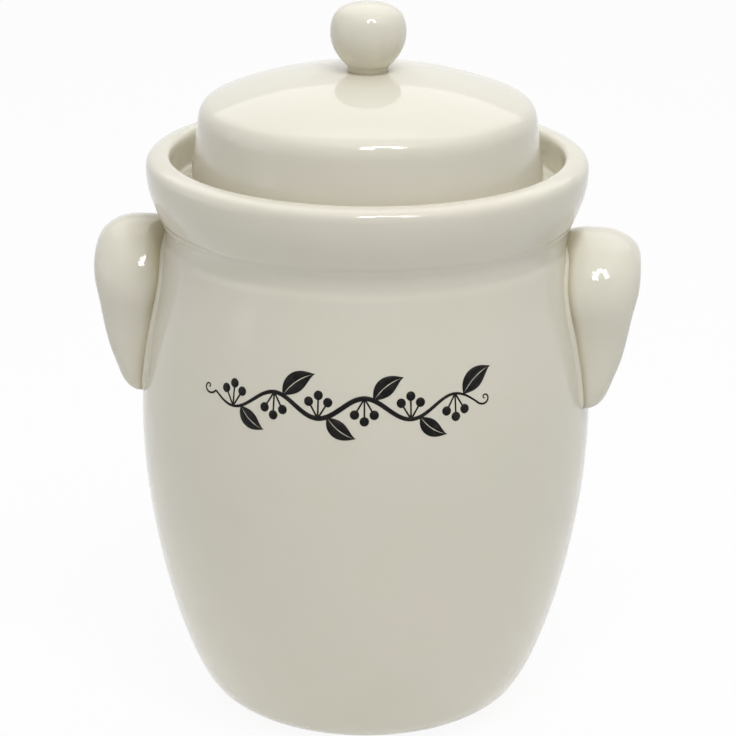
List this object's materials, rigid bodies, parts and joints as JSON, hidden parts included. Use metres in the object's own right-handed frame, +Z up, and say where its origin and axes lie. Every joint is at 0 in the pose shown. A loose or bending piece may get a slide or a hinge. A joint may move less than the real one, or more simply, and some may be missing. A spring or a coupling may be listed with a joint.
{
  "type": "rumtopf pot",
  "caption": "Stoneware preserving pot with a water-sealed domed lid, a channel collar, arched ear handles and loose weighting stones.",
  "frame": {"origin": "centre of the foot ring, on the surface the pot stands on", "axes": "+Z up along the pot's axis, the ears on +X and -X, the decorated front towards -Y"},
  "size_m": [0.242, 0.2002, 0.3206],
  "materials": {
    "cream_glaze": "gloss",
    "bare_stoneware": "matt"
  },
  "bodies": {
    "crock": {"crock_body": "cream_glaze", "channel_collar": "cream_glaze", "right_handle": "cream_glaze", "left_handle": "cream_glaze"},
    "lid": {"lid_shell": "cream_glaze", "lid_knob": "cream_glaze"},
    "stone_right": {"weight_stone_right": "bare_stoneware"},
    "stone_left": {"weight_stone_left": "bare_stoneware"}
  },
  "joints": [
    {"name": "lid_lift", "type": "slide", "parent": "crock", "child": "lid", "axis": [0, 0, 1], "range_m": [0, 0.15]},
    {"name": "stone_right_lift", "type": "slide", "parent": "crock", "child": "stone_right", "axis": [0, 0, 1], "range_m": [0, 0.235]},
    {"name": "stone_left_lift", "type": "slide", "parent": "crock", "child": "stone_left", "axis": [0, 0, 1], "range_m": [0, 0.235]}
  ]
}
